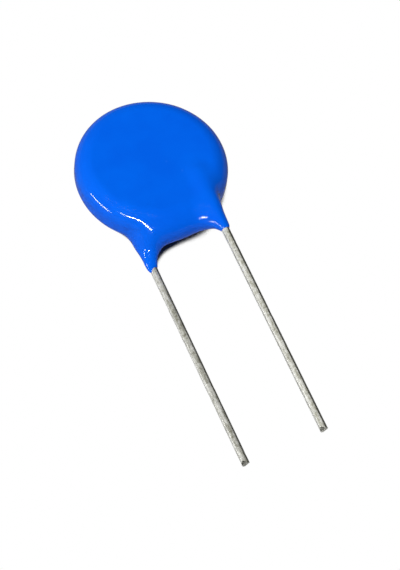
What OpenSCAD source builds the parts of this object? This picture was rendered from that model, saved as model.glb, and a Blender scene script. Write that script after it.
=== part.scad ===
// Dipped ceramic disc capacitor with two straight leads.
// It lies on its rear face. X runs across the two leads, the leads point along -Y,
// and Z goes up through the front face. All sizes are in millimetres.

/* [Coated disc] */
// Diameter of the coated disc
body_d = 15.6; // [13:0.1:18]
// Thickness of the coated disc between its flat faces
body_t = 4.5; // [4.2:0.1:6]
// Radius of the rounded rim
rim_r = 1.9; // [1.4:0.1:2.1]
// Coating over the edge of the ceramic disc
rim_coat = 1.3; // [0.8:0.1:1.8]
// Coating over the faces of the ceramic disc
face_coat = 0.95; // [0.7:0.05:1.3]

/* [Run-down coating] */
// Distance from the disc's rim down to the ends of the sleeves on the wires
sleeve_drop = 2.4; // [2:0.1:5]
// Length over which a sleeve swells from its end to its root
sleeve_taper = 2.75; // [2:0.05:3.2]
// Coating round the wire at the end of a sleeve
sleeve_end_coat = 0.18; // [0.1:0.01:0.3]
// Coating round the wire at the root of a sleeve
sleeve_root_coat = 0.26; // [0.2:0.01:0.5]
// Coating round the wire where its ridge fades into the face
ridge_end_coat = 0.2; // [0.15:0.01:0.4]
// Distance that the front ridge's core sinks into the face towards its upper end
front_ridge_sink = 0.4; // [0:0.05:0.5]
// Distance that the rear ridge's core sinks into the face towards its upper end
rear_ridge_sink = 0; // [0:0.05:0.5]
// Distance from the disc's rim down to the lower edge of the web between the sleeves
web_drop = 0.75; // [0.3:0.05:1.2]
// Radius of the web's rounded edge
web_r = 1.1; // [0.9:0.05:1.5]
// Distance from each wire to the near end of the web's core, side to side
web_inset = 1.05; // [0.8:0.05:1.6]
// Distance between the ends of the web's core, front to back
web_stagger = 1; // [0.4:0.1:2]
// Width of the band over which disc, web, ridges and sleeves flow together
flow_width = 1.35; // [0.8:0.05:1.6]

/* [Leads] */
// Diameter of the tinned wire
wire_d = 0.8; // [0.5:0.05:0.9]
// Distance between the leads, side to side
lead_pitch = 7.5; // [6.5:0.1:8.5]
// Distance between the leads, front to back
lead_stagger = 3.4; // [2.8:0.1:3.7]
// Length of the front lead below the disc's rim
front_lead_len = 26.7; // [8:0.1:38]
// Length of the rear lead below the disc's rim
rear_lead_len = 25.9; // [8:0.1:38]
// Length of the small crank of the wire inside each sleeve
crank_run = 1.6; // [1:0.1:2.2]
// Width left flat on the nipped tip of a lead
nip_land = 0.45; // [0.1:0.05:0.45]
// Length of the nipped flanks of a tip
nip_run = 0.3; // [0.1:0.05:0.6]
// Angle of the nip about the wire
nip_roll = 45; // [0:5:90]

/* [Ceramic element] */
// Chamfer on the edges of the ceramic disc
ceramic_chamfer = 0.25; // [0.1:0.05:0.5]
// Thickness of the fired silver electrodes
silver_t = 0.04; // [0.02:0.01:0.08]
// Bare margin between the silver and the edge of the ceramic
silver_margin = 0.5; // [0.3:0.05:1]
// Solder left between the wire and the silver
solder_film = 0.06; // [0.04:0.01:0.1]
// Solder round the wire at the crown of a joint
solder_coat = 0.08; // [0.06:0.01:0.12]
// Length of a solder joint along its wire
solder_len = 1.45; // [1:0.05:2.5]

/* [Hidden] */
$fn = 48;

FRONT = 1;
REAR = -1;
UP = [0, 0, 1];
coating_blue = [0.0, 0.36, 0.9];
tin_grey = [0.72, 0.72, 0.68];
solder_grey = [0.6, 0.61, 0.62];
silver_white = [0.85, 0.85, 0.82];
ceramic_tan = [0.62, 0.5, 0.38];

// Ceramic and silver, set in from the coated disc
ceramic_d = body_d - 2 * rim_coat;
ceramic_t = body_t - 2 * face_coat;
silver_r = ceramic_d / 2 - silver_margin;

// Distances from the disc's centre to what hangs below its rim
sleeve_reach = body_d / 2 + sleeve_drop;
web_reach = body_d / 2 + web_drop;
front_reach = body_d / 2 + front_lead_len;
rear_reach = body_d / 2 + rear_lead_len;

// Places of the wire: the bead of solder starts where the silver first carries its whole width
wire_r = wire_d / 2;
lead_x = lead_pitch / 2;
lead_z = lead_stagger / 2;
face_z = ceramic_t / 2 + silver_t + solder_film + wire_r;
crank_sink = 0.4;
crank_y = crank_sink - sleeve_reach;
ridge_y = crank_y + crank_run;
crown_r = wire_r + solder_coat;
wire_end_y = solder_len - sqrt(pow(silver_r, 2) - pow(lead_x + crown_r, 2));
solder_edge = 0.03;

// Knots of the coating on the front side: centres and radii of the limbs
end_r = wire_r + sleeve_end_coat;
root_r = wire_r + sleeve_root_coat;
ridge_r = wire_r + ridge_end_coat;
end_knot = [lead_x, -sleeve_reach + sqrt(pow(end_r, 2) - pow(wire_r, 2)), lead_z];
root_knot = [lead_x, end_knot.y + sleeve_taper, face_z];
web_knot = [lead_x - web_inset, web_r - web_reach, web_stagger / 2];

// Steps of the coating's mesh and of the crank's sweep
fan_steps = 18;
root_steps = 16;
sleeve_steps = 4;
cap_steps = 8;
ray_count = 27;
ray_steps = 80;
near_skin = 0.00001;
fork_gap = 0.3;
crank_steps = 8;
crank_sides = 24;
crank_neck = 0.985;

// The coating's skin: spine of both sides, stations round the outline and points
front_spine = spine(FRONT);
rear_spine = spine(REAR);
spine_points = concat([[0, 0, 0]], rear_spine, front_spine);
stations = concat(
    [[0, [0, 1]]],
    half_outline(REAR, 1, rear_spine),
    [[0, [0, -1]]],
    reversed(half_outline(FRONT, 1 + len(rear_spine), front_spine))
);
skin = [for (s = stations) each profile(spine_points[s[0]], s[1])];
tops = [for (p = spine_points) leave(p, UP)];
bottoms = [for (p = spine_points) leave(p, -UP)];

// The part lies on the lowest point of its skin, with its length centred on the origin
rest_z = -min([for (p = skin) p.z]);
mid_y = max(front_lead_len, rear_lead_len) / 2;

// The same thing turned about the lead direction is the other side's
function turned(p, side) = [side * p.x, p.y, side * p.z];

// Lesser of two distances, eased over the flow band
function soft_min(a, b) =
    let (h = max(flow_width - abs(a - b), 0) / flow_width)
    min(a, b) - h * h * flow_width / 4;

// Distance from a point to the plain disc with its rounded rim
function disc_gap(p) =
    let (
        out = norm([p.x, p.y]) - body_d / 2 + rim_r,
        up = abs(p.z) - body_t / 2 + rim_r
    )
    norm([max(out, 0), max(up, 0)]) + min(max(out, up), 0) - rim_r;

// Distance from a point to a round limb that runs from one knot to another
function limb_gap(p, a, b, ra, rb) =
    let (
        run = b - a,
        share = min(max((p - a) * run / (run * run), 0), 1)
    )
    norm(p - a - share * run) - ra - share * (rb - ra);

// Distance from a point to the coating along the front wire, with a ridge that sinks towards its upper end
function wire_coat_gap(p, sink) =
    let (top_knot = [lead_x, wire_end_y - wire_r, face_z - sink])
    min(
        limb_gap(p, end_knot, root_knot, end_r, root_r),
        limb_gap(p, root_knot, top_knot, root_r, ridge_r)
    );

// Distance from a point to the whole coating, negative inside
function coat_gap(p) =
    let (
        web = limb_gap(p, turned(web_knot, REAR), web_knot, web_r, web_r),
        front = wire_coat_gap(p, front_ridge_sink),
        rear = wire_coat_gap(turned(p, REAR), rear_ridge_sink)
    )
    soft_min(soft_min(disc_gap(p), web), min(front, rear));

// Where a ray from inside leaves the coating, walked out by the distance that is left
function leave(p, way, gone = 0, left = ray_steps) =
    let (gap = coat_gap(p + gone * way))
    gap > -near_skin || left == 0 ? p + gone * way
    : leave(p, way, gone - gap / norm(way), left - 1);

// Spine of one side: from near the disc's centre to the fork beside the web, then down the sleeve
function spine(side) =
    let (fork = [lead_x, -web_reach - fork_gap, lead_z])
    [
        for (i = [1 : root_steps])
            let (share = i / root_steps)
            turned([fork.x * sin(90 * share), fork.y * share, fork.z * share * share], side),
        for (i = [1 : sleeve_steps]) turned(fork + (end_knot - fork) * i / sleeve_steps, side)
    ];

// Stations of one side's outline, from the disc's top round to the web's middle: spine index and direction
function half_outline(side, first, points) =
    let (
        last = len(points) - 1,
        fork_y = points[root_steps - 1].y
    )
    [
        for (i = [1 : fan_steps]) [0, [side * sin(90 * i / fan_steps), cos(90 * i / fan_steps)]],
        for (i = [0 : last]) [first + i, [side, 0]],
        for (i = [1 : cap_steps]) [
            first + last, [side * cos(180 * i / cap_steps), -sin(180 * i / cap_steps)]
        ],
        for (i = [last - 1 : -1 : root_steps]) [first + i, [-side, 0]],
        for (i = [root_steps - 1 : -1 : 0]) [
            first + i, [-points[i].x / 2, fork_y - fork_gap - points[i].y]
        ]
    ];

function reversed(list) = [for (i = [len(list) - 1 : -1 : 0]) list[i]];

// Points of one station's profile, from just under its upper spine point to just over its lower one
function profile(p, flat) =
    let (
        out = leave(p, [flat.x, flat.y, 0]) - p,
        up = leave(p, UP) - p,
        down = leave(p, -UP) - p
    )
    [
        for (j = [1 : ray_count - 2])
            let (turn = 90 - 180 * j / (ray_count - 1))
            leave(p, cos(turn) * out + abs(sin(turn)) * (turn > 0 ? up : down))
    ];

// The dipped outer form as one closed skin
module coating_skin() {
    points = concat(skin, tops, bottoms);
    row = ray_count - 2;
    count = len(stations);
    first_top = len(skin);
    first_bottom = first_top + len(tops);
    // Index of a station's point j, where the ends of a profile are shared along the spine
    function at(i, j) =
        j == 0 ? first_top + stations[i % count][0]
        : j == ray_count - 1 ? first_bottom + stations[i % count][0]
        : (i % count) * row + j - 1;
    // Every quad is split along its shorter diagonal
    triangles = [
        for (i = [0 : count - 1], j = [0 : ray_count - 2])
            let (
                a = at(i, j),
                b = at(i + 1, j),
                c = at(i + 1, j + 1),
                d = at(i, j + 1)
            )
            each norm(points[a] - points[c]) < norm(points[b] - points[d])
                ? [[a, b, c], [a, c, d]] : [[a, b, d], [b, c, d]]
    ];
    polyhedron(
        points = points,
        faces = [for (t = triangles) if (t[0] != t[1] && t[1] != t[2] && t[2] != t[0]) t]
    );
}

// Sets the disc's own frame into the part's frame
module placed() {
    translate([0, mid_y, rest_z]) children();
}

// Turns what is made for the front over to the side asked for
module on_side(side) {
    rotate([0, side == FRONT ? 0 : 180, 0]) children();
}

// Straight wire along Y between a start and an end
module straight_wire(z, from, to) {
    translate([lead_x, from, z]) rotate([to < from ? 90 : -90, 0, 0])
        cylinder(d = wire_d, h = abs(to - from));
}

// Crank of the front wire, swept with rings square to the lead and a hair thinner than the wire
module crank() {
    rings = [
        for (i = [0 : crank_steps])
            let (share = i / crank_steps)
            [lead_x, crank_y + share * crank_run, lead_z + (face_z - lead_z) * (1 - cos(180 * share)) / 2]
    ];
    around = [
        for (j = [0 : crank_sides - 1])
            crank_neck * wire_r * [cos(360 * j / crank_sides), 0, sin(360 * j / crank_sides)]
    ];
    last = crank_steps * crank_sides;
    sides = [
        for (i = [0 : crank_steps - 1], j = [0 : crank_sides - 1])
            let (a = i * crank_sides + j, b = i * crank_sides + (j + 1) % crank_sides)
            [a, b, b + crank_sides, a + crank_sides]
    ];
    ends = [
        [for (j = [crank_sides - 1 : -1 : 0]) j],
        [for (j = [0 : crank_sides - 1]) last + j]
    ];
    polyhedron(points = [for (r = rings, a = around) r + a], faces = concat(sides, ends));
}

// Stretch of the front wire that is seated on the electrode
module seated_wire() {
    straight_wire(face_z, ridge_y, wire_end_y);
}

// Front wire: nipped tip, straight run, crank inside the sleeve and the seated stretch
module wire(reach) {
    half_land = nip_land / 2;
    spread = wire_r - half_land;
    wedge = [
        [half_land - spread, -reach - nip_run], [wire_r + spread, 2 * nip_run - reach],
        [wire_r + spread, -reach - nip_run]
    ];
    difference() {
        straight_wire(lead_z, crank_y, -reach);
        for (turn = [0, 180])
            translate([lead_x, 0, lead_z]) rotate([0, nip_roll + turn, 0])
                linear_extrude(2 * wire_d, center = true) polygon(wedge);
    }
    crank();
    seated_wire();
}

// Front solder joint: a bead round the wire that sits flat on the silver
module solder_bead() {
    rise = solder_len / 4;
    bead = [
        [0, 0], [wire_r + solder_edge, 0], [crown_r, rise], [crown_r, solder_len - rise],
        [wire_r + solder_edge, solder_len], [0, solder_len]
    ];
    intersection() {
        translate([lead_x, wire_end_y, face_z]) rotate([90, 0, 0]) rotate_extrude() polygon(bead);
        translate([0, -ceramic_d, ceramic_t / 2 + silver_t]) cube(ceramic_d);
    }
}

module silver_disc() {
    translate([0, 0, ceramic_t / 2]) cylinder(r = silver_r, h = silver_t);
}

module ceramic_body() {
    rotate_extrude() polygon([
        [0, -ceramic_t / 2], [ceramic_d / 2 - ceramic_chamfer, -ceramic_t / 2],
        [ceramic_d / 2, ceramic_chamfer - ceramic_t / 2], [ceramic_d / 2, ceramic_t / 2 - ceramic_chamfer],
        [ceramic_d / 2 - ceramic_chamfer, ceramic_t / 2], [0, ceramic_t / 2]
    ]);
}

// Solder joint of one side, with the wire's place left open
module solder_joint(side) {
    placed() on_side(side) difference() {
        solder_bead();
        seated_wire();
    }
}

module ceramic_disc() {
    color(ceramic_tan) placed() ceramic_body();
}

module front_electrode() {
    color(silver_white) placed() on_side(FRONT) silver_disc();
}

module rear_electrode() {
    color(silver_white) placed() on_side(REAR) silver_disc();
}

module front_solder() {
    color(solder_grey) solder_joint(FRONT);
}

module rear_solder() {
    color(solder_grey) solder_joint(REAR);
}

module front_lead() {
    color(tin_grey) placed() on_side(FRONT) wire(front_reach);
}

module rear_lead() {
    color(tin_grey) placed() on_side(REAR) wire(rear_reach);
}

// Dipped coating, moulded round everything that it seals in
module coating() {
    color(coating_blue) placed() difference() {
        coating_skin();
        ceramic_body();
        for (side = [FRONT, REAR]) on_side(side) {
            silver_disc();
            solder_bead();
            wire(side == FRONT ? front_reach : rear_reach);
        }
    }
}

ceramic_disc();
front_electrode();
rear_electrode();
front_solder();
rear_solder();
front_lead();
rear_lead();
coating();
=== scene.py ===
"""Dresses a dipped ceramic disc capacitor and lays it on a white studio floor."""

import logging
import math
from dataclasses import dataclass
from enum import Enum
from typing import Iterable, Optional, Sequence

import bmesh
import bpy
import numpy as np
from mathutils import Matrix, Vector


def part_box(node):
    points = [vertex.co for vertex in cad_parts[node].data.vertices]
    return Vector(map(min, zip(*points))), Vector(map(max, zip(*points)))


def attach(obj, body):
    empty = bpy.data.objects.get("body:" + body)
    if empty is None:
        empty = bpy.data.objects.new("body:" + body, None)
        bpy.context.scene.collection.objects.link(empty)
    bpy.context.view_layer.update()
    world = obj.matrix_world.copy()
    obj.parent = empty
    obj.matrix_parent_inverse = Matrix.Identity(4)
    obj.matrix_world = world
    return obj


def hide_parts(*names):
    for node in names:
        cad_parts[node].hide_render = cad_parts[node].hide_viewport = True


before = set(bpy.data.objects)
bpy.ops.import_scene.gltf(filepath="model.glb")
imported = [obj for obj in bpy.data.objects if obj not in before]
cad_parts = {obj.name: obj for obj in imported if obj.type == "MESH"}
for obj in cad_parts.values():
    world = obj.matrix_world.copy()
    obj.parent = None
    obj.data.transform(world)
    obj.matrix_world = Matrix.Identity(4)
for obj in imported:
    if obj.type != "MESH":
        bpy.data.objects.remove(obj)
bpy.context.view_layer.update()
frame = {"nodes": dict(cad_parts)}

Array = np.ndarray
Colour = tuple[float, float, float]
Triple = tuple[float, float, float]
Wave = tuple[float, float, float, float]
Span = tuple[float, float]
Piece = bpy.types.Object
Material = bpy.types.Material
Socket = bpy.types.NodeSocket

MM = 0.001
BODY = "root"
log = logging.getLogger("capacitor")


class Side(Enum):
    """Side of the disc that a wire is soldered to."""

    FRONT = 1
    REAR = -1


class Slot(Enum):
    """Material slots of the part's record."""

    EPOXY = "epoxy"
    TIN = "tinned_wire"
    SOLDER = "solder"
    SILVER = "silver"
    CERAMIC = "ceramic"


class Work(Enum):
    """What a lamp does: it lights the part softly or only shows as a glint on it."""

    LIGHT = "light"
    GLINT = "glint"


def turned(points: Array, side: Side) -> Array:
    """Turns points of the front side about the lead direction to the side asked for."""
    return points * np.array([side.value, 1.0, side.value])


def mesh_object(name: str, points: Array, faces: Sequence[Sequence[int]], centre: Array) -> Piece:
    """Makes a smooth mesh object from points round the disc's centre.

    Args:
        name: Name of the piece.
        points: Points in millimetres from the disc's centre.
        faces: Corner indices of each face.
        centre: The disc's centre in millimetres, in the shared frame.

    Returns:
        The new object, linked to the scene.
    """
    mesh = bpy.data.meshes.new(name)
    mesh.from_pydata(((points + centre) * MM).tolist(), [], faces)
    mesh.polygons.foreach_set("use_smooth", [True] * len(mesh.polygons))
    mesh.update()
    piece = bpy.data.objects.new(name, mesh)
    bpy.context.scene.collection.objects.link(piece)
    return piece


def surface_net(values: Array, origin: Array, step: float) -> tuple[Array, list[list[int]]]:
    """Wraps the zero level of a grid of gaps in one closed mesh of quads.

    Args:
        values: Gaps at the grid's points, negative inside.
        origin: Place of the grid's first point.
        step: Distance between grid points.

    Returns:
        Points of the mesh and the corner indices of its quads.
    """
    cells = np.array(values.shape) - 1
    total = np.zeros((*cells, 3))
    count = np.zeros(tuple(cells))
    rims: list[tuple[Array, Array, int]] = []
    for axis in range(3):
        near = np.moveaxis(np.moveaxis(values, axis, 0)[:-1], 0, axis)
        far = np.moveaxis(np.moveaxis(values, axis, 0)[1:], 0, axis)
        base = np.argwhere((near < 0) != (far < 0))
        low, high = near[tuple(base.T)], far[tuple(base.T)]
        place = base.astype(float)
        place[:, axis] += low / (low - high)
        rims.append((base, low < 0, axis))
        b, c = (axis + 1) % 3, (axis + 2) % 3
        for back_b in (0, 1):
            for back_c in (0, 1):
                cell = base.copy()
                cell[:, b] -= back_b
                cell[:, c] -= back_c
                np.add.at(total, tuple(cell.T), place)
                np.add.at(count, tuple(cell.T), 1)
    busy = count > 0
    index = np.full(tuple(cells), -1)
    index[busy] = np.arange(busy.sum())
    quads: list[list[int]] = []
    for base, outward, axis in rims:
        b, c = (axis + 1) % 3, (axis + 2) % 3
        corners = []
        for back_b, back_c in ((1, 1), (0, 1), (0, 0), (1, 0)):
            cell = base.copy()
            cell[:, b] -= back_b
            cell[:, c] -= back_c
            corners.append(index[tuple(cell.T)])
        ring = np.stack(corners, 1)
        ring[~outward] = ring[~outward][:, ::-1]
        quads += ring.tolist()
    return total[busy] / count[busy][:, None] * step + origin, quads


class Bench:
    """A node tree with short calls to fill it."""

    def __init__(self, tree: bpy.types.NodeTree) -> None:
        """Keeps the tree to be filled."""
        self.tree = tree

    def add(self, kind: str, inputs: Optional[dict] = None, **settings: object) -> bpy.types.Node:
        """Adds a node.

        Args:
            kind: Type of the node.
            inputs: Values or source sockets by input name or number.
            settings: Properties of the node itself.

        Returns:
            The new node.
        """
        node = self.tree.nodes.new(kind)
        for name, value in settings.items():
            setattr(node, name, value)
        for key, value in (inputs or {}).items():
            if isinstance(value, Socket):
                self.tree.links.new(value, node.inputs[key])
            else:
                node.inputs[key].default_value = value
        return node

    def blend(self, share: Socket, low: object, high: object) -> Socket:
        """Mixes two colours.

        Args:
            share: Mask that leads from the low colour to the high one.
            low: Colour or socket where the mask is 0.
            high: Colour or socket where the mask is 1.

        Returns:
            The mixed colour.
        """
        node = self.add("ShaderNodeMix", data_type="RGBA")
        self.tree.links.new(share, node.inputs[0])
        for number, value in ((6, low), (7, high)):
            if isinstance(value, Socket):
                self.tree.links.new(value, node.inputs[number])
            else:
                node.inputs[number].default_value = (*value, 1.0)
        return node.outputs[2]

    def span(self, share: Socket, low: float, high: float) -> Socket:
        """Leads a mask from 0..1 to low..high."""
        return self.add("ShaderNodeMapRange", {0: share, 3: low, 4: high}).outputs[0]

    def ramp(self, value: Socket, ends: Sequence[object]) -> Socket:
        """Leads a value to a mask of 0..1 between two ends, which may be sockets."""
        return self.add("ShaderNodeMapRange", {0: value, 1: ends[0], 2: ends[1]}).outputs[0]

    def combine(self, a: object, b: object, operation: str = "MULTIPLY") -> Socket:
        """Joins two values by a calculation."""
        return self.add("ShaderNodeMath", {0: a, 1: b}, operation=operation).outputs[0]


class Effects:
    """The node groups that several finishes share, each built once."""

    def __init__(self) -> None:
        """Builds the three groups."""
        self.mottle = self._mottle()
        self.specks = self._specks()
        self.streaks = self._streaks()

    @staticmethod
    def _group(
        name: str, inputs: dict[str, float], outputs: Iterable[str]
    ) -> tuple[Bench, dict[str, Socket], bpy.types.Node]:
        """Starts a group.

        Args:
            name: Name of the group.
            inputs: Value inputs with their defaults, besides the place on the surface.
            outputs: Names of the value outputs.

        Returns:
            The bench, the input sockets by name and the output node.
        """
        tree = bpy.data.node_groups.new(name, "ShaderNodeTree")
        tree.interface.new_socket("Place", in_out="INPUT", socket_type="NodeSocketVector")
        for title, value in inputs.items():
            socket = tree.interface.new_socket(title, in_out="INPUT", socket_type="NodeSocketFloat")
            socket.default_value = value
        for title in outputs:
            tree.interface.new_socket(title, in_out="OUTPUT", socket_type="NodeSocketFloat")
        bench = Bench(tree)
        start = bench.add("NodeGroupInput")
        given = {socket.name: socket for socket in start.outputs if socket.name}
        return bench, given, bench.add("NodeGroupOutput")

    def _mottle(self) -> bpy.types.NodeTree:
        """Makes cloudy patches with a soft or sharp edge.

        Returns:
            The group, with a mask of the patches and the height they come from.
        """
        defaults = {"Scale": 1000.0, "Detail": 3.0, "From": 0.4, "To": 0.6}
        bench, given, out = self._group("cloudy_mottle", defaults, ("Mask", "Height"))
        noise = bench.add(
            "ShaderNodeTexNoise",
            {"Vector": given["Place"], "Scale": given["Scale"], "Detail": given["Detail"]},
        )
        mask = bench.ramp(noise.outputs[0], (given["From"], given["To"]))
        bench.tree.links.new(mask, out.inputs["Mask"])
        bench.tree.links.new(noise.outputs[0], out.inputs["Height"])
        return bench.tree

    def _specks(self) -> bpy.types.NodeTree:
        """Makes scattered small specks, such as dust or pits.

        Returns:
            The group, with a mask of the specks.
        """
        defaults = {"Scale": 1500.0, "Size": 0.12, "Amount": 0.5}
        bench, given, out = self._group("fine_specks", defaults, ("Mask",))
        cells = bench.add("ShaderNodeTexVoronoi", {"Vector": given["Place"], "Scale": given["Scale"]})
        lot = bench.add("ShaderNodeSeparateColor", {0: cells.outputs["Color"]})
        kept = bench.combine(lot.outputs[0], given["Amount"], "LESS_THAN")
        spot = bench.ramp(cells.outputs["Distance"], (given["Size"], 0.0))
        bench.tree.links.new(bench.combine(spot, kept), out.inputs["Mask"])
        return bench.tree

    def _streaks(self) -> bpy.types.NodeTree:
        """Makes marks drawn out along the leads, such as wire drawing or the run of the dip.

        Returns:
            The group, with a mask of the marks and the height they come from.
        """
        defaults = {"Scale": 2500.0, "Stretch": 0.1, "Detail": 3.0, "From": 0.4, "To": 0.65}
        bench, given, out = self._group("drawn_streaks", defaults, ("Mask", "Height"))
        ways = bench.add("ShaderNodeSeparateXYZ", {0: given["Place"]})
        along = bench.combine(ways.outputs[1], given["Stretch"])
        place = bench.add("ShaderNodeCombineXYZ", {0: ways.outputs[0], 1: along, 2: ways.outputs[2]})
        noise = bench.add(
            "ShaderNodeTexNoise",
            {"Vector": place.outputs[0], "Scale": given["Scale"], "Detail": given["Detail"]},
        )
        mask = bench.ramp(noise.outputs[0], (given["From"], given["To"]))
        bench.tree.links.new(mask, out.inputs["Mask"])
        bench.tree.links.new(noise.outputs[0], out.inputs["Height"])
        return bench.tree


class FinishBench(Bench):
    """A material's node tree with its Principled shader and the place on the surface at hand."""

    def __init__(self, name: str) -> None:
        """Starts the material.

        Args:
            name: Name of the material.
        """
        self.material = bpy.data.materials.new(name)
        self.material.use_nodes = True
        super().__init__(self.material.node_tree)
        self.shader = self.tree.nodes["Principled BSDF"]
        self.place = self.add("ShaderNodeTexCoord").outputs["Object"]

    def effect(self, group: bpy.types.NodeTree, **values: float) -> bpy.types.Node:
        """Places a shared effect with its own values.

        Args:
            group: The shared effect.
            values: Values by the name of the effect's input.

        Returns:
            The placed effect.
        """
        node = self.add("ShaderNodeGroup", node_tree=group)
        self.tree.links.new(self.place, node.inputs["Place"])
        for title, value in values.items():
            node.inputs[title].default_value = value
        return node

    def feed(self, name: str, source: Socket) -> None:
        """Feeds one socket of the shader."""
        self.tree.links.new(source, self.shader.inputs[name])

    def set(self, **values: object) -> None:
        """Sets plain values of the shader by the names of its sockets."""
        for title, value in values.items():
            self.shader.inputs[title].default_value = value

    def relief(self, height: Socket, depth_mm: float) -> None:
        """Turns a height into a bump of that depth."""
        bump = self.add("ShaderNodeBump", {"Height": height, "Distance": depth_mm * MM, "Strength": 1.0})
        self.feed("Normal", bump.outputs[0])


@dataclass(frozen=True)
class EpoxyFinish:
    """Glossy dipped blue epoxy."""

    blue: Colour = (0.0, 0.125, 0.81)
    deep: Colour = (0.0, 0.112, 0.77)
    dusty: Colour = (0.03, 0.19, 0.86)
    gloss: Span = (0.05, 0.09)
    dust_share: float = 0.35
    refraction: float = 1.4
    peel_mm: float = 0.0012

    def material(self, effects: Effects) -> Material:
        """Makes the material.

        Args:
            effects: The shared node groups.

        Returns:
            The finished material.
        """
        bench = FinishBench("dipped_blue_epoxy")
        cloud = bench.effect(effects.mottle, Scale=260.0, Detail=2.0, From=0.35, To=0.65)
        run = bench.effect(effects.streaks, Scale=900.0, Stretch=0.25, From=0.35, To=0.7)
        dust = bench.effect(effects.specks, Scale=900.0, Size=0.16, Amount=0.05)
        peel = bench.effect(effects.mottle, Scale=1600.0, Detail=1.0)
        tone = bench.blend(cloud.outputs["Mask"], self.blue, self.deep)
        tone = bench.blend(bench.combine(dust.outputs["Mask"], self.dust_share), tone, self.dusty)
        bench.feed("Base Color", tone)
        bench.feed("Roughness", bench.span(run.outputs["Mask"], *self.gloss))
        bench.set(IOR=self.refraction)
        bench.relief(peel.outputs["Height"], self.peel_mm)
        return bench.material


@dataclass(frozen=True)
class TinFinish:
    """Dull tin plating on drawn wire, mottled by handling, with painted shade down its right side and a
    painted sheen on its left.

    The painted sheen, the painted shade stripe and its end, and a thin dark line along the left side are
    places across the wire, by the x part of its normal.
    """

    name: str
    olive: Colour
    grey: Colour
    # Share of the painted sheen that lightens the left side.
    sheen_share: float
    shine: float
    # Where the painted shade on the right side sets in, by the x part of the normal.
    dark_side: Span
    # Strength of a thin dark line along the left side of the wire.
    dark_line: float = 0.0
    # Colour of the drawn streaks, and of the painted sheen on the left side.
    bare_and_sheen: Colour = (0.9, 0.9, 0.87)
    dark: Colour = (0.03, 0.03, 0.022)
    # Colour of the painted shade on the right side.
    painted_shade: Colour = (0.09, 0.09, 0.072)
    rough: Span = (0.3, 0.5)
    stripe_end: Span = (0.86, 0.7)
    # Where the painted sheen on the left side sets in and is full, by the x part of the normal.
    light_side: Span = (-0.45, -0.95)
    line_at: float = -0.93
    line_width: float = 0.05
    drawn_share: float = 0.55
    pit_share: float = 0.7
    relief_mm: float = 0.004

    def material(self, effects: Effects) -> Material:
        """Makes the material.

        Args:
            effects: The shared node groups.

        Returns:
            The finished material.
        """
        bench = FinishBench(self.name)
        patch = bench.effect(effects.mottle, Scale=3200.0, Detail=4.0, From=0.4, To=0.62)
        drawn = bench.effect(effects.streaks, Scale=4200.0, Stretch=0.16, From=0.42, To=0.62)
        pits = bench.effect(effects.specks, Scale=4200.0, Size=0.35, Amount=0.2)
        normal = bench.add("ShaderNodeNewGeometry").outputs["Normal"]
        across = bench.add("ShaderNodeSeparateXYZ", {0: normal}).outputs[0]
        # Painted sheen: the left side of the wire is painted lighter, towards a pale tin colour.
        painted_sheen = bench.ramp(across, self.light_side)
        # Painted shade: a stripe down the right side of the wire is painted darker.
        painted_shade_mask = bench.combine(bench.ramp(across, self.dark_side), bench.ramp(across, self.stripe_end))
        tone = bench.blend(patch.outputs["Mask"], self.olive, self.grey)
        tone = bench.blend(bench.combine(drawn.outputs["Mask"], self.drawn_share), tone, self.bare_and_sheen)
        tone = bench.blend(bench.combine(painted_sheen, self.sheen_share), tone, self.bare_and_sheen)
        # A thin dark line along the left side, placed by the x part of the normal.
        if self.dark_line:
            line = bench.add(
                "ShaderNodeMath", {0: across, 1: self.line_at, 2: self.line_width}, operation="COMPARE"
            )
            tone = bench.blend(bench.combine(line.outputs[0], self.dark_line), tone, self.dark)
        tone = bench.blend(bench.combine(pits.outputs["Mask"], self.pit_share), tone, self.dark)
        bench.feed("Base Color", bench.blend(painted_shade_mask, tone, self.painted_shade))
        bench.feed("Roughness", bench.span(drawn.outputs["Mask"], *self.rough))
        bench.set(Metallic=self.shine)
        height = bench.combine(drawn.outputs["Height"], patch.outputs["Height"], "ADD")
        bench.relief(height, self.relief_mm)
        return bench.material


@dataclass(frozen=True)
class MetalFinish:
    """Plain metal with a grain: satin solder, matt fired silver, or the nipped tip's faces painted near
    black as painted shade.
    """

    name: str
    light: Colour
    shade: Colour
    rough: Span
    grain_scale: float
    relief_mm: float
    pit_share: float = 0.5

    def material(self, effects: Effects) -> Material:
        """Makes the material.

        Args:
            effects: The shared node groups.

        Returns:
            The finished material.
        """
        bench = FinishBench(self.name)
        grain = bench.effect(effects.mottle, Scale=self.grain_scale, Detail=4.0, From=0.35, To=0.65)
        pits = bench.effect(effects.specks, Scale=2.0 * self.grain_scale, Size=0.2, Amount=0.15)
        tone = bench.blend(grain.outputs["Mask"], self.light, self.shade)
        tone = bench.blend(bench.combine(pits.outputs["Mask"], self.pit_share), tone, self.shade)
        bench.feed("Base Color", tone)
        bench.feed("Roughness", bench.span(grain.outputs["Mask"], *self.rough))
        bench.set(Metallic=1.0)
        bench.relief(grain.outputs["Height"], self.relief_mm)
        return bench.material


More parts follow.
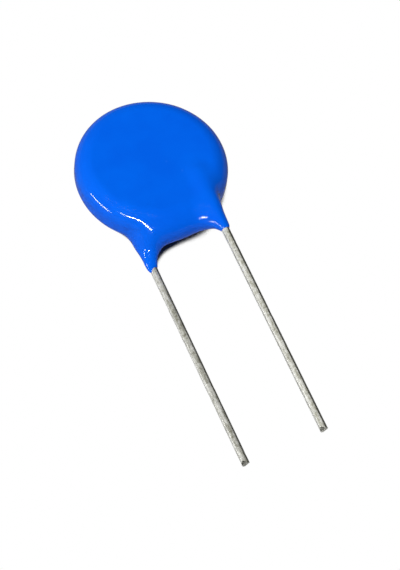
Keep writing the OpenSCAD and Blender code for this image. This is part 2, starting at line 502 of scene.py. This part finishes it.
@dataclass(frozen=True)
class CeramicFinish:
    """Unglazed fired dielectric."""

    tan: Colour = (0.45, 0.34, 0.24)
    fired: Colour = (0.34, 0.25, 0.17)
    pale: Colour = (0.6, 0.5, 0.4)
    rough: Span = (0.6, 0.8)
    relief_mm: float = 0.01

    def material(self, effects: Effects) -> Material:
        """Makes the material.

        Args:
            effects: The shared node groups.

        Returns:
            The finished material.
        """
        bench = FinishBench("fired_ceramic")
        cloud = bench.effect(effects.mottle, Scale=500.0, Detail=5.0, From=0.35, To=0.65)
        specks = bench.effect(effects.specks, Scale=3000.0, Size=0.25, Amount=0.3)
        tone = bench.blend(cloud.outputs["Mask"], self.tan, self.fired)
        bench.feed("Base Color", bench.blend(specks.outputs["Mask"], tone, self.pale))
        bench.feed("Roughness", bench.span(cloud.outputs["Mask"], *self.rough))
        bench.relief(cloud.outputs["Height"], self.relief_mm)
        return bench.material


@dataclass(frozen=True)
class WireSeat:
    """Thickness of the front wire and where it runs, in millimetres from the disc's centre."""

    wire_r: float = 0.4
    lead_x: float = 3.75
    lead_z: float = 1.7
    face_z: float = 1.8


@dataclass(frozen=True)
class SleeveForm:
    """What sets the coating along one wire apart from the other, in millimetres."""

    sink: float
    cone_r: float
    cone_lean: float


@dataclass(frozen=True)
class CoatForm:
    """Form of the dipped coating, in millimetres from the disc's centre."""

    body_d: float = 15.6
    body_t: float = 4.5
    rim_r: float = 1.9
    sleeve_reach: float = 10.2
    sleeve_taper: float = 2.75
    end_r: float = 0.58
    root_r: float = 0.66
    ridge_r: float = 0.6
    ridge_top_y: float = -3.21
    front: SleeveForm = SleeveForm(sink=0.4, cone_r=1.1, cone_lean=1.0)
    rear: SleeveForm = SleeveForm(sink=0.0, cone_r=0.95, cone_lean=0.4)
    cone_y: float = -7.4
    cone_inset: float = 0.6
    cone_flow: float = 1.0
    end_flow: float = 0.02
    web_reach: float = 8.22
    web_r: float = 1.1
    web_inset: float = 1.05
    web_stagger: float = 1.0
    flow_width: float = 1.35
    web_flow: float = 1.8
    seat: WireSeat = WireSeat()
    inset: float = 0.012
    wave: float = 0.01
    slow_waves: tuple[Wave, Wave] = ((0.61, 0.4, 0.0, 0.7), (-0.3, 0.53, 0.9, 0.0))
    fine_waves: tuple[Wave, Wave] = ((1.7, -0.9, 1.3, 0.0), (0.0, 1.1, 0.8, 0.4))
    fine_share: float = 0.4
    drip_width: float = 0.3
    drip_from: Triple = (-3.98, -9.4, -1.52)
    drip_to: Triple = (-4.06, -10.28, -1.6)
    drip_r: Span = (0.42, 0.25)
    probe: float = 1e-4

    @staticmethod
    def soft_min(a: Array, b: Array, width: float | Array) -> Array:
        """Takes the lesser of two gaps, eased over a band."""
        share = np.maximum(width - np.abs(a - b), 0) / width
        return np.minimum(a, b) - share * share * width / 4

    @staticmethod
    def limb(p: Array, a: Array, b: Array, ra: float, rb: float) -> Array:
        """Measures the gap to a round limb between two knots.

        Args:
            p: Points to measure from.
            a: First knot.
            b: Second knot.
            ra: Radius at the first knot.
            rb: Radius at the second knot.

        Returns:
            The gap at each point.
        """
        run = b - a
        share = np.clip((p - a) @ run / (run @ run), 0, 1)
        return np.linalg.norm(p - a - share[..., None] * run, axis=-1) - ra - share * (rb - ra)

    def disc(self, p: Array) -> Array:
        """Measures the gap to the plain disc with its round rim.

        Args:
            p: Points to measure from.

        Returns:
            The gap at each point.
        """
        out = np.hypot(p[..., 0], p[..., 1]) - self.body_d / 2 + self.rim_r
        up = np.abs(p[..., 2]) - self.body_t / 2 + self.rim_r
        round_rim = np.hypot(np.maximum(out, 0), np.maximum(up, 0))
        return round_rim + np.minimum(np.maximum(out, up), 0) - self.rim_r

    def along_wire(self, p: Array, own: SleeveForm) -> Array:
        """Measures the gap to the sleeve, cone and ridge of a wire on the front side.

        Args:
            p: Points to measure from.
            own: The wire's own sizes.

        Returns:
            The gap at each point.
        """
        seat = self.seat
        end_y = math.sqrt(self.end_r**2 - seat.wire_r**2) - self.sleeve_reach
        end = np.array([seat.lead_x, end_y, seat.lead_z])
        root = np.array([seat.lead_x, end_y + self.sleeve_taper, seat.face_z])
        top = np.array([seat.lead_x, self.ridge_top_y, seat.face_z - own.sink])
        foot = np.array([seat.lead_x - self.cone_inset, self.cone_y, seat.lead_z - own.cone_lean])
        sleeve = self.limb(p, end, root, self.end_r, self.root_r)
        ridge = self.limb(p, root, top, self.root_r, self.ridge_r)
        cone = self.limb(p, end, foot, self.end_r, own.cone_r)
        share = np.clip((p[..., 1] - end_y) / (self.cone_y - end_y), 0, 1)
        return self.soft_min(np.minimum(sleeve, ridge), cone, self.cone_flow * share + self.end_flow)

    @staticmethod
    def swell(p: Array, waves: tuple[Wave, Wave]) -> Array:
        """Multiplies two crossing sine waves, each given by its rates along x, y and z and its shift."""
        first, second = (np.sin(p @ np.array(rates) + shift) for *rates, shift in waves)
        return first * second

    def ripple(self, p: Array) -> Array:
        """Gives the slight unevenness of the dip, which only ever takes coating away."""
        uneven = self.swell(p, self.slow_waves) + self.fine_share * self.swell(p, self.fine_waves)
        return self.wave * (1 + self.fine_share + uneven)

    def gap(self, p: Array) -> Array:
        """Measures the gap to the whole coating, negative inside.

        Args:
            p: Points to measure from.

        Returns:
            The gap at each point.
        """
        knot = np.array(
            [self.seat.lead_x - self.web_inset, self.web_r - self.web_reach, self.web_stagger / 2]
        )
        web = self.limb(p, turned(knot, Side.REAR), knot, self.web_r, self.web_r)
        body = self.soft_min(self.disc(p), web, self.web_flow)
        front = self.along_wire(p, self.front)
        rear = self.along_wire(turned(p, Side.REAR), self.rear)
        whole = self.soft_min(body, np.minimum(front, rear), self.flow_width)
        drip = self.limb(p, np.array(self.drip_from), np.array(self.drip_to), *self.drip_r)
        return self.soft_min(whole, drip, self.drip_width) + self.inset + self.ripple(p)

    def slope(self, p: Array) -> Array:
        """Gives the gap's slope at each point."""
        ways = np.eye(3) * self.probe
        return np.stack([self.gap(p + way) - self.gap(p - way) for way in ways], -1) / (2 * self.probe)


@dataclass
class CoatedBody:
    """The dipped coating as one fine skin."""

    centre: Array
    form: CoatForm
    step: float = 0.12
    margin: float = 0.5
    passes: int = 4

    def build(self) -> Piece:
        """Wraps the coating's form and settles each point on it.

        Returns:
            The coat.
        """
        half = self.form.body_d / 2 + self.margin
        low = np.array([-half, -self.form.sleeve_reach - 2 * self.margin, -half / 2])
        high = np.array([half, half, half / 2])
        ticks = [np.arange(a, b, self.step) for a, b in zip(low, high)]
        grid = np.stack(np.meshgrid(*ticks, indexing="ij"), -1)
        points, quads = surface_net(self.form.gap(grid), low, self.step)
        for _ in range(self.passes):
            slope = self.form.slope(points)
            points -= slope * (self.form.gap(points) / (slope**2).sum(-1))[:, None]
        return mesh_object("dipped_coat", points, quads, self.centre)

    def dress(self, piece: Piece, material: Material) -> None:
        """Gives the coat its finish and its place in the frame.

        Args:
            piece: The coat.
            material: Its finish.
        """
        piece.data.materials.append(material)
        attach(piece, BODY)
        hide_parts("coating")


@dataclass(frozen=True)
class Dent:
    """A shallow flat or nick in a wire, in millimetres along the lead and degrees round it."""

    y: float
    turn: float
    length: float
    spread: float
    depth: float


@dataclass
class Lead:
    """One tinned wire: seated stretch, crank inside the sleeve, straight run and nipped tip."""

    centre: Array
    side: Side
    reach: float
    seed: int
    nicks: tuple[Dent, ...] = ()
    seat: WireSeat = WireSeat()
    start_y: float = -2.81
    ridge_y: float = -8.2
    crank_y: float = -9.8
    nip_land: float = 0.45
    nip_run: float = 0.3
    nip_roll: float = 45.0
    sharp_angle: float = 50.0
    inset: float = 0.003
    sides: int = 56
    ring_step: float = 0.09
    flat_count: int = 46
    flat_margin: float = 0.6
    flat_length: Span = (0.15, 0.7)
    flat_spread: Span = (14.0, 34.0)
    flat_depth: Span = (0.004, 0.016)

    def axis_z(self, y: Array) -> Array:
        """Gives the height of the wire's axis along the lead."""
        share = np.clip((y - self.crank_y) / (self.ridge_y - self.crank_y), 0, 1)
        return self.seat.lead_z + (self.seat.face_z - self.seat.lead_z) * (1 - np.cos(np.pi * share)) / 2

    def dents(self) -> list[Dent]:
        """Scatters shallow handling flats along the bare run and adds the wire's own nicks.

        Returns:
            The flats, then the nicks.
        """
        draw = np.random.default_rng(self.seed)
        flats = [
            Dent(
                y=draw.uniform(-self.reach + self.flat_margin, self.crank_y - self.flat_margin),
                turn=draw.uniform(0, 360),
                length=draw.uniform(*self.flat_length),
                spread=draw.uniform(*self.flat_spread),
                depth=draw.uniform(*self.flat_depth),
            )
            for _ in range(self.flat_count)
        ]
        return flats + list(self.nicks)

    def hollow(self, y: Array, turn: Array) -> Array:
        """Measures how far the dents take the wire's surface in.

        Args:
            y: Places along the lead.
            turn: Places round the wire in degrees.

        Returns:
            Depth at each place.
        """
        depth = np.zeros(np.broadcast(y, turn).shape)
        for dent in self.dents():
            off = (turn - dent.turn + 180) % 360 - 180
            depth += dent.depth * np.exp(-(((y - dent.y) / dent.length) ** 2) - (off / dent.spread) ** 2)
        return depth

    def build(self) -> Piece:
        """Sweeps the wire and nips its tip.

        Returns:
            The wire.
        """
        count = int((self.start_y + self.reach) / self.ring_step)
        y = np.linspace(self.start_y, -self.reach + self.inset, count)[:, None]
        turn = np.arange(self.sides)[None, :] * 360 / self.sides
        radius = self.seat.wire_r - self.inset - self.hollow(y, turn)
        x = self.seat.lead_x + radius * np.cos(np.radians(turn))
        z = self.axis_z(y) + radius * np.sin(np.radians(turn))
        points = turned(np.stack(np.broadcast_arrays(x, y, z), -1).reshape(-1, 3), self.side)
        faces = [
            [i * self.sides + j, i * self.sides + k, (i + 1) * self.sides + k, (i + 1) * self.sides + j]
            for i in range(count - 1)
            for j, k in ((j, (j + 1) % self.sides) for j in range(self.sides))
        ]
        faces.append(list(range(self.sides))[::-1])
        faces.append([(count - 1) * self.sides + j for j in range(self.sides)])
        piece = mesh_object(f"{self.side.name.lower()}_wire", points, faces, self.centre)
        self.nip(piece)
        return piece

    def nip(self, piece: Piece) -> None:
        """Cuts the two flanks of the tip and keeps their edges sharp.

        Args:
            piece: The swept wire.
        """
        work = bmesh.new()
        work.from_mesh(piece.data)
        roll = math.radians(self.nip_roll)
        half = self.nip_land / 2
        end = np.array([self.seat.lead_x, -self.reach, self.seat.lead_z])
        tip = Vector(turned(end, self.side) + self.centre)
        for way in (1, -1):
            across = way * Vector((math.cos(roll), 0, -math.sin(roll)))
            normal = across * self.nip_run + Vector((0, half - self.seat.wire_r, 0))
            parts = work.verts[:] + work.edges[:] + work.faces[:]
            cut = bmesh.ops.bisect_plane(
                work, geom=parts, plane_co=(tip + across * half) * MM, plane_no=normal, clear_outer=True
            )
            rim = [part for part in cut["geom_cut"] if isinstance(part, bmesh.types.BMEdge)]
            for face in bmesh.ops.edgenet_fill(work, edges=rim)["faces"]:
                face.material_index = 1
            for edge in rim:
                edge.smooth = False
        bmesh.ops.recalc_face_normals(work, faces=work.faces[:])
        for edge in work.edges:
            if len(edge.link_faces) == 2 and edge.calc_face_angle() > math.radians(self.sharp_angle):
                edge.smooth = False
        work.to_mesh(piece.data)
        work.free()
        piece.data.polygons.foreach_set("use_smooth", [True] * len(piece.data.polygons))

    def dress(self, piece: Piece, plating: Material, sheared_and_shaded: Material) -> None:
        """Gives the wire its finish and its place in the frame.

        Args:
            piece: The wire.
            plating: Finish of the drawn wire.
            sheared_and_shaded: Finish of the faces that the nippers left, painted near black as painted
                shade.
        """
        piece.data.materials.append(plating)
        piece.data.materials.append(sheared_and_shaded)
        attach(piece, BODY)
        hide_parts(f"{self.side.name.lower()}_lead")


@dataclass
class Core:
    """What the coating seals in: the fired disc, its silver and the solder."""

    nodes: dict[str, Piece]

    def dress(self, finishes: dict[Slot, Material]) -> list[str]:
        """Gives each sealed solid its finish.

        Args:
            finishes: Materials by slot.

        Returns:
            Names of the solids that were dressed.
        """
        slots = {
            "ceramic_disc": Slot.CERAMIC,
            "front_electrode": Slot.SILVER,
            "rear_electrode": Slot.SILVER,
            "front_solder": Slot.SOLDER,
            "rear_solder": Slot.SOLDER,
        }
        for name, slot in slots.items():
            materials = self.nodes[name].data.materials
            materials.clear()
            materials.append(finishes[slot])
        return list(slots)


@dataclass(frozen=True)
class Lamp:
    """An oblong soft lamp, placed in millimetres from the disc's centre."""

    name: str
    place: Triple
    size: Span
    watts: float
    work: Work
    aim: Triple = (0.0, 0.0, 0.0)

    def hang(self, centre: Array) -> None:
        """Hangs the lamp and turns it to its aim.

        Args:
            centre: The disc's centre in millimetres, in the shared frame.
        """
        light = bpy.data.lights.new(self.name, "AREA")
        light.shape = "RECTANGLE"
        light.size, light.size_y = (side * MM for side in self.size)
        light.energy = self.watts
        lamp = bpy.data.objects.new(self.name, light)
        way = Vector(self.aim) - Vector(self.place)
        lamp.rotation_euler = way.to_track_quat("-Z", "Y").to_euler()
        lamp.location = Vector((centre + np.array(self.place)) * MM)
        lamp.visible_glossy = self.work is Work.GLINT
        lamp.visible_diffuse = self.work is Work.LIGHT
        bpy.context.scene.collection.objects.link(lamp)


@dataclass
class Studio:
    """White floor, soft lamps, sky and camera, placed in millimetres from the disc's centre."""

    centre: Array
    floor_r: float = 2000.0
    floor_steps: int = 96
    paper: Colour = (0.8, 0.8, 0.8)
    white: Colour = (1.0, 1.0, 1.0)
    mirrored: float = 0.2
    shadow: Colour = (0.003, 0.006, 0.02)
    shadow_rays: int = 96
    shadow_reach: float = 9.0
    shadow_axis: Triple = (0.707, -0.707, 0.0)
    shadow_lean: float = 0.6
    shadow_band: Span = (0.48, 0.53)
    left_sky: float = 0.12
    right_sky: float = 0.03
    sky_span: Span = (-0.9, 0.3)
    lens: float = 187.43
    nearest: float = 10.0
    eye: Triple = (-77.17, -151.564, 247.32)
    right: Triple = (0.9206, -0.3837, 0.0721)
    down: Triple = (-0.2901, -0.796, -0.5313)
    forward: Triple = (0.2613, 0.4682, -0.8441)
    lamps: tuple[Lamp, ...] = (
        Lamp("overhead_fill", place=(-260.0, -80.0, 560.0), size=(420.0, 420.0), watts=4.9, work=Work.LIGHT),
        Lamp("front_strip", place=(-298.0, -307.0, 276.0), size=(310.0, 28.0), watts=1.0, work=Work.GLINT),
        Lamp("front_core", place=(-300.0, -305.0, 275.0), size=(110.0, 32.0), watts=0.9, work=Work.GLINT),
        Lamp("left_window", place=(-480.0, -20.0, 66.0), size=(280.0, 30.0), watts=1.0, work=Work.GLINT),
    )

    def lay_floor(self) -> None:
        """Lays a round white floor under the part."""
        work = bmesh.new()
        bmesh.ops.create_circle(work, cap_ends=True, radius=self.floor_r * MM, segments=self.floor_steps)
        mesh = bpy.data.meshes.new("floor")
        work.to_mesh(mesh)
        work.free()
        floor = bpy.data.objects.new("floor", mesh)
        bpy.context.scene.collection.objects.link(floor)
        mesh.materials.append(self.paper_material())

    def paper_material(self) -> Material:
        """Makes paper that reads white to the eye and keeps the part's contact shadow.

        Returns:
            The floor's material.
        """
        material = bpy.data.materials.new("white_paper")
        material.use_nodes = True
        bench = Bench(material.node_tree)
        bench.tree.nodes.remove(bench.tree.nodes["Principled BSDF"])
        rays = bench.add("ShaderNodeLightPath").outputs
        seen = bench.combine(rays["Is Camera Ray"], rays["Is Glossy Ray"], "MAXIMUM")
        seen = bench.combine(seen, rays["Is Transmission Ray"], "MAXIMUM")
        up = bench.add("ShaderNodeNewGeometry").outputs["Normal"]
        leaning = bench.add(
            "ShaderNodeVectorRotate", {"Vector": up, "Axis": self.shadow_axis, "Angle": self.shadow_lean}
        )
        open_sky = bench.add(
            "ShaderNodeAmbientOcclusion",
            {"Distance": self.shadow_reach * MM, "Normal": leaning.outputs[0]},
            samples=self.shadow_rays,
        )
        clear = bench.ramp(open_sky.outputs["AO"], self.shadow_band)
        matt = bench.add("ShaderNodeBsdfDiffuse", {"Color": (*self.paper, 1.0)})
        shown = bench.add(
            "ShaderNodeEmission",
            {
                "Color": bench.blend(clear, self.shadow, self.white),
                "Strength": bench.span(rays["Is Glossy Ray"], 1.0, self.mirrored),
            },
        )
        mixed = bench.add("ShaderNodeMixShader", {0: seen, 1: matt.outputs[0], 2: shown.outputs[0]})
        bench.tree.links.new(mixed.outputs[0], bench.tree.nodes["Material Output"].inputs[0])
        return material

    def raise_sky(self) -> None:
        """Sets a sky that is brighter on the left than on the right."""
        world = bpy.data.worlds.new("studio")
        world.use_nodes = True
        bpy.context.scene.world = world
        bench = Bench(world.node_tree)
        way = bench.add("ShaderNodeTexCoord").outputs["Generated"]
        across = bench.add("ShaderNodeSeparateXYZ", {0: way}).outputs[0]
        level = bench.span(bench.ramp(across, self.sky_span), self.left_sky, self.right_sky)
        bench.tree.links.new(level, bench.tree.nodes["Background"].inputs["Color"])

    def set_camera(self) -> None:
        """Puts the camera where the part is seen as it lies."""
        data = bpy.data.cameras.new("camera")
        data.lens = self.lens
        data.clip_start = self.nearest * MM
        camera = bpy.data.objects.new("camera", data)
        axes = Matrix((self.right, [-v for v in self.down], [-v for v in self.forward])).transposed()
        camera.matrix_world = Matrix.Translation((self.centre + np.array(self.eye)) * MM) @ axes.to_4x4()
        bpy.context.scene.collection.objects.link(camera)
        bpy.context.scene.camera = camera

    def build(self) -> None:
        """Builds the whole studio."""
        self.lay_floor()
        self.raise_sky()
        for lamp in self.lamps:
            lamp.hang(self.centre)
        self.set_camera()
        bpy.context.scene.view_settings.view_transform = "Standard"


def main() -> None:
    """Builds and dresses each sub-assembly in order."""
    logging.basicConfig(level=logging.INFO, format="%(message)s")
    effects = Effects()
    finishes = {
        Slot.EPOXY: EpoxyFinish().material(effects),
        Slot.SOLDER: MetalFinish(
            "satin_solder",
            light=(0.55, 0.56, 0.57),
            shade=(0.38, 0.39, 0.4),
            rough=(0.3, 0.5),
            grain_scale=2200.0,
            relief_mm=0.01,
        ).material(effects),
        Slot.SILVER: MetalFinish(
            "fired_silver",
            light=(0.8, 0.8, 0.77),
            shade=(0.66, 0.66, 0.62),
            rough=(0.45, 0.65),
            grain_scale=1600.0,
            relief_mm=0.006,
        ).material(effects),
        Slot.CERAMIC: CeramicFinish().material(effects),
    }
    # The front wire gets a lit copy and the rear wire a shaded copy of one tin; the rear's darker tones are
    # painted shade.
    plating = {
        Side.FRONT: TinFinish(
            "tin_lit_copy",
            olive=(0.4, 0.395, 0.31),
            grey=(0.7, 0.7, 0.63),
            sheen_share=0.5,
            shine=0.25,
            dark_side=(0.2, 0.36),
            dark_line=0.45,
        ).material(effects),
        Side.REAR: TinFinish(
            "tin_shaded_copy",
            olive=(0.3, 0.295, 0.23),
            grey=(0.58, 0.58, 0.51),
            sheen_share=0.4,
            shine=0.4,
            dark_side=(0.25, 0.5),
        ).material(effects),
    }
    # The nipped faces are cut metal, painted near black as painted shade.
    sheared_and_shaded = MetalFinish(
        "sheared_wire_painted_dark",
        light=(0.16, 0.16, 0.14),
        shade=(0.02, 0.02, 0.018),
        rough=(0.3, 0.45),
        grain_scale=3600.0,
        relief_mm=0.01,
    ).material(effects)
    low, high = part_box("ceramic_disc")
    centre = np.array((low + high) / 2) / MM

    body = CoatedBody(centre, CoatForm())
    coat = body.build()
    body.dress(coat, finishes[Slot.EPOXY])
    log.info("%s: %d faces", coat.name, len(coat.data.polygons))

    nick = Dent(y=-19.3, turn=40.0, length=0.3, spread=30.0, depth=0.09)
    leads = (
        Lead(centre, Side.FRONT, reach=34.5, seed=11),
        Lead(centre, Side.REAR, reach=33.7, seed=23, nicks=(nick,)),
    )
    for lead in leads:
        wire = lead.build()
        lead.dress(wire, plating[lead.side], sheared_and_shaded)
        log.info("%s: %d faces", wire.name, len(wire.data.polygons))

    for name in Core(frame["nodes"]).dress(finishes):
        log.info("%s: dressed", name)

    Studio(centre).build()
    log.info("studio: set")


if __name__ == "__main__":
    main()
